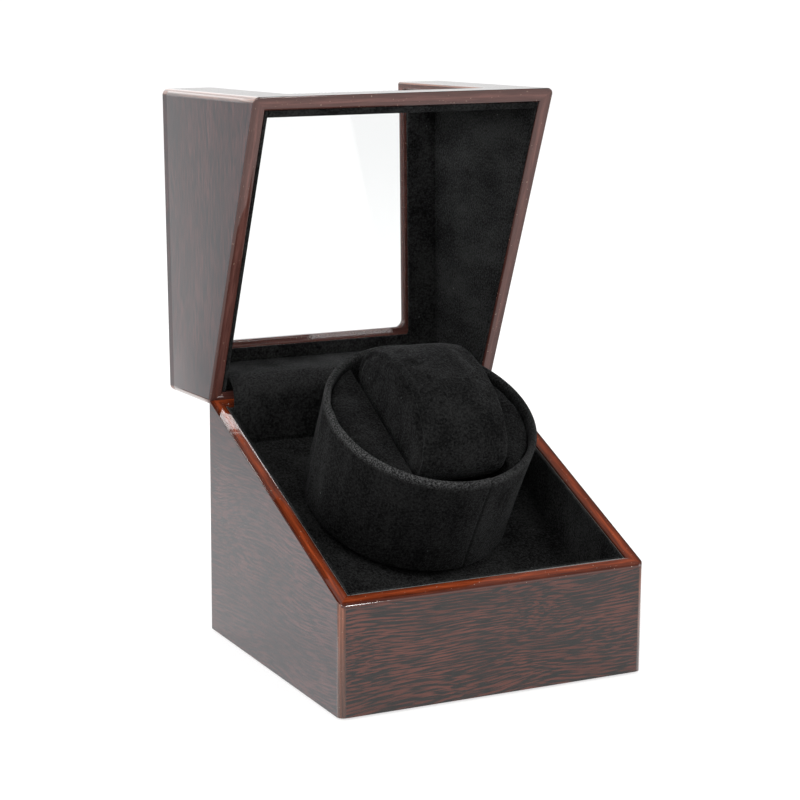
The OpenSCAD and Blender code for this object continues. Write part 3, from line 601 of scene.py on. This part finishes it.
def wall_profile():
    """The shell's section as (radius, height, cloth), once round; cloth says how loose it is."""
    base_r = drum_r - 0.8 * MM
    inner_r = drum_r - shell_t
    foot_z = shell_low.z + foot_r
    lip_z = shell_high.z - lip_r
    wall_steps = 26
    points = [(radius, shell_low.z, 0) for radius in (hub_r, base_r * 0.6, base_r - foot_r)]
    points += [
        (base_r - foot_r * (1 - math.sin(a)), foot_z - foot_r * math.cos(a), 0.3)
        for a in [math.radians(30 * i) for i in (1, 2, 3)]
    ]
    for step in range(1, wall_steps):
        share = step / wall_steps
        loose = math.sin(math.pi * share) ** 0.5
        points.append((base_r + (drum_r - base_r) * share, foot_z + (lip_z - foot_z) * share, loose))
    points += [
        (drum_r - lip_r + lip_r * math.cos(a), lip_z + lip_r * math.sin(a), 0.4)
        for a in [math.radians(15 * i) for i in range(13)]
    ]
    points.append((inner_r, lip_z - 4 * MM, 0))
    points += [(radius, floor_top, 0) for radius in (inner_r, inner_r * 0.6, hub_r)]
    return points


def cloth_swell(angle, height, loose):
    """How far the drum's cover stands off its wall: slack, folds by the left and a lapped seam."""
    around = Vector((math.cos(angle), math.sin(angle), 0)) * 2.1
    slack = noise.noise(around + Vector((0, 0, height * 22))) * 0.25
    from_fold = angle_between(angle, FOLD_ANGLE)
    fold = math.exp(-((from_fold / 0.34) ** 2)) * math.sin(from_fold * 21 + height * 75) * 0.42
    past_seam = angle_between(angle, SEAM_ANGLE)
    lap = 0.20 * (1 + math.tanh(past_seam * 150)) * math.exp(-max(past_seam, 0) * 5)
    stitch = -0.22 * math.exp(-(((past_seam + 0.008) / 0.014) ** 2))
    return (loose * (slack + fold) + min(1.0, loose * 2) * (lap + stitch) - 0.3 * loose) * MM


def drum_shell():
    mesh = bmesh.new()
    profile = wall_profile()
    rings = []
    for angle in DRUM_ANGLES:
        ring = []
        for radius, height, loose in profile:
            r = radius + (cloth_swell(angle, height, loose) if loose else 0)
            ring.append(mesh.verts.new((r * math.cos(angle), r * math.sin(angle), height)))
        rings.append(ring)
    for ring, following in zip(rings, rings[1:] + rings[:1]):
        for i in range(len(profile)):
            j = (i + 1) % len(profile)
            mesh.faces.new((ring[i], following[i], following[j], ring[j]))
    bmesh.ops.recalc_face_normals(mesh, faces=mesh.faces)
    piece = make_object("drum_shell_velvet", mesh, [LIP_VELVET], AT_DRUM, 60)
    return finish_piece(piece, "drum", "velvet", "drum_shell")


drum_shell()

# Cloth runs on a model this many times as big, where its settings behave
CLOTH_SCALE = 8.0
CLOTH_FRAMES = 20


def run_cloth(piece, pressure):
    """Blows a closed piece up from inside, and keeps the last frame as its mesh."""
    settings = piece.modifiers.new("cloth", "CLOTH").settings
    settings.use_pressure = True
    settings.uniform_pressure_force = pressure
    settings.effector_weights.gravity = 0
    settings.tension_stiffness = 10
    settings.bending_stiffness = 0.3
    scene = bpy.context.scene
    scene.frame_end = CLOTH_FRAMES
    for number in range(1, CLOTH_FRAMES + 1):
        scene.frame_set(number)
    apply_modifiers(piece)
    scene.frame_set(1)


def stuffed(node, body, edge, voxel, pressure, cap, shape=lambda point: point):
    """A padded piece of the drum: the CAD solid drawn in by cap, then swollen out by at most cap.

    edge rounds the solid's edges, voxel is its mesh's pitch, and shape moves the finished points.
    """
    mesh = copy_of(node, AT_DRUM)
    round_edges(mesh, edge, 4)
    bmesh.ops.scale(mesh, vec=(CLOTH_SCALE,) * 3, verts=mesh.verts)
    piece = make_object(node + "_padded", mesh, [DRUM_VELVET])
    remesh = piece.modifiers.new("even_mesh", "REMESH")
    remesh.mode = "VOXEL"
    remesh.voxel_size = voxel * CLOTH_SCALE
    apply_modifiers(piece)
    start = [vertex.co - vertex.normal * cap * CLOTH_SCALE for vertex in piece.data.vertices]
    for vertex, point in zip(piece.data.vertices, start):
        vertex.co = point
    run_cloth(piece, pressure)
    for vertex, point in zip(piece.data.vertices, start):
        step = vertex.co - point
        step *= min(1.0, cap * CLOTH_SCALE / max(step.length, 1e-9))
        vertex.co = (point + step) / CLOTH_SCALE
    ease = piece.modifiers.new("ease", "SMOOTH")
    ease.factor, ease.iterations = 0.5, 6
    piece.modifiers.new("finer", "SUBSURF").levels = 1
    apply_modifiers(piece)
    for vertex in piece.data.vertices:
        vertex.co = shape(vertex.co)
    piece.data.shade_smooth()
    piece.matrix_world = AT_DRUM
    return finish_piece(piece, body, "velvet", node)


cushion_low, cushion_high = local_box("watch_cushion", AT_DRUM)
cushion_middle = (cushion_low + cushion_high) / 2
cushion_half = (cushion_high - cushion_low) / 2


def sewn_cushion(point):
    """Sinks the cushion's side panels inside their seam, and lets the crown pucker along it."""
    seam = 0.86
    local = point - cushion_middle
    reach = math.hypot(local.y / cushion_half.y, local.z / cushion_half.z)
    side = min(1.0, max(0.0, (abs(local.x) / cushion_half.x - 0.8) / 0.12))
    groove = 0.95 * math.exp(-(((reach - seam) / 0.035) ** 2))
    sunk = 0.9 * (1 - min(1.0, reach / seam) ** 4)
    local.x -= math.copysign((groove + sunk) * side * MM, local.x)
    around = math.atan2(local.z, local.y)
    pucker = noise.noise(Vector((math.cos(around) * 5, math.sin(around) * 5, local.x * 90)))
    swell = 1 + 0.008 * pucker * (1 - side) * min(1.0, reach)
    return cushion_middle + Vector((local.x, local.y * swell, local.z * swell))


stuffed(
    "watch_cushion", "cushion",
    edge=2.4 * MM, voxel=1.0 * MM, pressure=5.0, cap=0.8 * MM, shape=sewn_cushion,
)
for side in ("left", "right"):
    stuffed(
        f"drum_insert_{side}", "drum",
        edge=1.6 * MM, voxel=1.1 * MM, pressure=4.0, cap=0.6 * MM,
    )
stuffed("slot_floor", "drum", edge=1.0 * MM, voxel=1.4 * MM, pressure=3.0, cap=0.4 * MM)

# ---------- hinge flap ----------

FLAP_COLUMNS = 78
FLAP_T = 0.7 * MM
FLAP_SLACK = 0.35 * MM
# Steps of the flap's line: up the base's lining, round the hinges and on to the lid's pad
STEPS_UP, STEPS_ROUND, STEPS_ON = 12, 16, 5

flap_low, flap_high = local_box("hinge_flap", AT_BASE)


def flap_line():
    """The flap's middle line, from the base's rear lining up, over and on to the lid's pad."""
    start = Vector((0, flap_low.y + FLAP_T / 2, flap_low.z))
    end = Vector((0, flap_high.y, flap_high.z - FLAP_T / 2))
    radius = end.z - hinge.z
    bend = Vector((0, start.y, hinge.z))
    centre = bend + Vector((0, radius, 0))
    line = [start.lerp(bend, i / STEPS_UP) for i in range(STEPS_UP)]
    for i in range(STEPS_ROUND + 1):
        angle = math.pi - math.pi / 2 * i / STEPS_ROUND
        line.append(centre + radius * Vector((0, math.cos(angle), math.sin(angle))))
    top = line[-1].copy()
    line += [top.lerp(end, i / STEPS_ON) for i in range(1, STEPS_ON + 1)]
    return line


def flap_row(mesh, line, column, face):
    """The flap's points at a column, on its outer (1) or its inner (-1) face. Its sides are thinner."""
    row = []
    x = flap_low.x + (flap_high.x - flap_low.x) * column / FLAP_COLUMNS
    thin = min(1.0, min(column, FLAP_COLUMNS - column) * 0.5 + 0.45)
    last = len(line) - 1
    for i, point in enumerate(line):
        ahead = (line[min(i + 1, last)] - line[max(i - 1, 0)]).normalized()
        out = Vector((0, -ahead.z, ahead.y))
        free = math.sin(math.pi * i / last) ** 2
        slack = free * noise.noise(Vector((x * 55, i * 0.13, 4.2))) * FLAP_SLACK
        place = Vector((x, point.y, point.z)) + out * (slack + face * thin * FLAP_T / 2)
        row.append(mesh.verts.new(place))
    return row


def hinge_flap():
    """A strip of velvet over the hinges, a little slack between its glued ends."""
    line = flap_line()
    last = len(line) - 1
    mesh = bmesh.new()
    outer, inner = [
        [flap_row(mesh, line, column, face) for column in range(FLAP_COLUMNS + 1)] for face in (1, -1)
    ]
    for rows in (outer, inner):
        for a, b in zip(rows, rows[1:]):
            for i in range(last):
                mesh.faces.new((a[i], a[i + 1], b[i + 1], b[i]))
    for a, b, c, d in zip(outer, outer[1:], inner, inner[1:]):
        for i in (0, last):
            mesh.faces.new((a[i], b[i], d[i], c[i]))
    for column in (0, FLAP_COLUMNS):
        over, under = outer[column], inner[column]
        for i in range(last):
            mesh.faces.new((over[i], over[i + 1], under[i + 1], under[i]))
    bmesh.ops.recalc_face_normals(mesh, faces=mesh.faces)
    piece = make_object("hinge_flap_velvet", mesh, [FLAP_VELVET], AT_BASE, 70)
    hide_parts("hinge_flap")
    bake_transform(piece)


hinge_flap()

# ---------- controls ----------


def moulded_part(node, body, edge):
    """A small part of black plastic with its sharp edges broken."""
    mesh = copy_of(node, AT_BASE)
    round_edges(mesh, edge, 2)
    piece = make_object(node + "_moulded", mesh, [BLACK_PLASTIC])
    return finish_piece(flat_normals(piece), body, "black_plastic", node)


moulded_part("dc_jack", "base", 0.2 * MM)
moulded_part("mode_knob", "knob", 0.15 * MM)
moulded_part("rocker_housing", "base", 0.2 * MM)
moulded_part("power_rocker", "rocker", 0.3 * MM)

# ---------- plain CAD nodes ----------


def paint(material, *nodes):
    for node in nodes:
        data = frame["nodes"][node].data
        data.materials.clear()
        data.materials.append(material)


paint(BRASS, "hinge_base_leaf_left", "hinge_base_leaf_right", "hinge_lid_leaf_left")
paint(BRASS, "hinge_lid_leaf_right", "hinge_pins", "hinge_base_screws", "hinge_lid_screws")
paint(BRASS, "output_bushes", "motor_pulley")
paint(STEEL, "output_shaft", "mid_shaft", "pinion_shaft", "motor_shaft", "motor_can", "mode_switch")
paint(STEEL, "motor_screws", "plate_screws", "deck_screws", "hub_screws")
paint(GEAR_NYLON, "output_gear", "mid_gear", "belt_pulley")
paint(BLACK_NYLON, "drum_hub", "gear_top_plate", "gear_bottom_plate")
paint(BELT_RUBBER, "drive_belt")
paint(PLYWOOD, "base_bottom_board", "deck_cleats")
paint(FELT, "base_felt")
paint(CIRCUIT, "control_board")

# ---------- stage ----------

# The paper is shaded left of the first x and white right of the second, which both lean to the
# right by so much for each metre back
SHADED_X, WHITE_X, SHADE_LEAN = -0.40, -0.19, 0.306
PAPER_GLOW = 0.64


def make_floor():
    """White paper with a soft shade on it, to the rear left, that the box's left side reflects."""
    mesh = bmesh.new()
    bmesh.ops.create_grid(mesh, x_segments=1, y_segments=1, size=30)
    shader = Shader("studio_paper", Roughness=0.9)
    at = shader.add("SeparateXYZ", {"Vector": shader.add("TexCoord").outputs["Object"]}).outputs
    across = shader.math("SUBTRACT", at["X"], shader.math("MULTIPLY", at["Y"], SHADE_LEAN))
    share = shader.math("MULTIPLY", shader.math("SUBTRACT", across, SHADED_X), 1 / (WHITE_X - SHADED_X))
    from_left = shader.ramp(share, (0.0, 0.66), (1.0, 1.0))
    from_front = shader.ramp(at["Y"], (0.0, 1.0), (0.35, 0.66))
    light = shader.math("MAXIMUM", from_left, from_front)
    shader.set(
        shader.surface,
        {
            "Base Color": shader.mix(light, (0.0, 0.0, 0.0), (0.35, 0.35, 0.35)),
            "Emission Color": shader.mix(light, (0.0, 0.0, 0.0), (1.0, 1.0, 1.0)),
            "Emission Strength": PAPER_GLOW,
        },
    )
    floor = make_object("floor", mesh, [shader.material])
    floor.location.z = cad_box[0][2]


# Each softbox: where it stands, its width and height, and its power in watts
SOFTBOXES = {
    "key_softbox": ((-0.75, -0.75, 1.1), (0.45, 0.45), 8),
    "back_softbox": ((0.42, 0.85, 1.1), (0.40, 0.40), 3.4),
    "left_softbox": ((-1.25, 0.3, 0.7), (0.8, 0.8), 8),
    "front_softbox": ((0.47, -1.08, 0.80), (0.12, 0.14), 4.5),
    "right_softbox": ((1.2, -0.6, 0.6), (0.8, 1.0), 4),
}
LAMPS_AIM = Vector((0, 0, 0.1))


def make_lights():
    for name, (at, size, power) in SOFTBOXES.items():
        light = bpy.data.lights.new(name, "AREA")
        light.shape = "RECTANGLE"
        light.size, light.size_y = size
        light.energy = power
        lamp = bpy.data.objects.new(name, light)
        lamp.location = at
        lamp.rotation_euler = (LAMPS_AIM - Vector(at)).to_track_quat("-Z", "Y").to_euler()
        bpy.context.scene.collection.objects.link(lamp)


CAMERA_AT = (-0.37975, -0.73534, 0.26702)
CAMERA_AZIMUTH, CAMERA_DOWN, CAMERA_ROLL = [math.radians(angle) for angle in (-26.77, 11.77, 0.37)]
CAMERA_LENS = 105.05


def make_camera():
    """A long lens, in front of the box, to its left and a little above it."""
    data = bpy.data.cameras.new("camera")
    data.sensor_width = 36
    data.lens = CAMERA_LENS
    camera = bpy.data.objects.new("camera", data)
    turn = Matrix.Rotation(CAMERA_AZIMUTH, 4, "Z") @ Matrix.Rotation(math.pi / 2 - CAMERA_DOWN, 4, "X")
    turn = turn @ Matrix.Rotation(CAMERA_ROLL, 4, "Z")
    camera.matrix_world = Matrix.Translation(CAMERA_AT) @ turn
    bpy.context.scene.collection.objects.link(camera)
    bpy.context.scene.camera = camera


# Height of the view's direction, and how bright the studio is there
SKY_BANDS = ((0.06, 0.42), (0.13, 1.0), (0.40, 1.0), (0.75, 0.15))
SKY_STRENGTH = 2.1


def make_studio():
    """Soft light all round, brightest a little above the horizon."""
    world = bpy.data.worlds.new("studio")
    bpy.context.scene.world = world
    world.use_nodes = True
    sky = world.node_tree
    facing = sky.nodes.new("ShaderNodeSeparateXYZ")
    bands = sky.nodes.new("ShaderNodeValToRGB")
    sky.links.new(sky.nodes.new("ShaderNodeTexCoord").outputs["Generated"], facing.inputs["Vector"])
    sky.links.new(facing.outputs["Z"], bands.inputs["Fac"])
    while len(bands.color_ramp.elements) < len(SKY_BANDS):
        bands.color_ramp.elements.new(0.5)
    for band, (height, grey) in zip(bands.color_ramp.elements, SKY_BANDS):
        band.position, band.color = height, (grey, grey, grey, 1)
    sky.links.new(bands.outputs["Color"], sky.nodes["Background"].inputs["Color"])
    sky.nodes["Background"].inputs["Strength"].default_value = SKY_STRENGTH
    bpy.context.scene.view_settings.view_transform = "Standard"


make_floor()
make_camera()
make_lights()
make_studio()

# ---------- hand over ----------

bpy.context.view_layer.update()
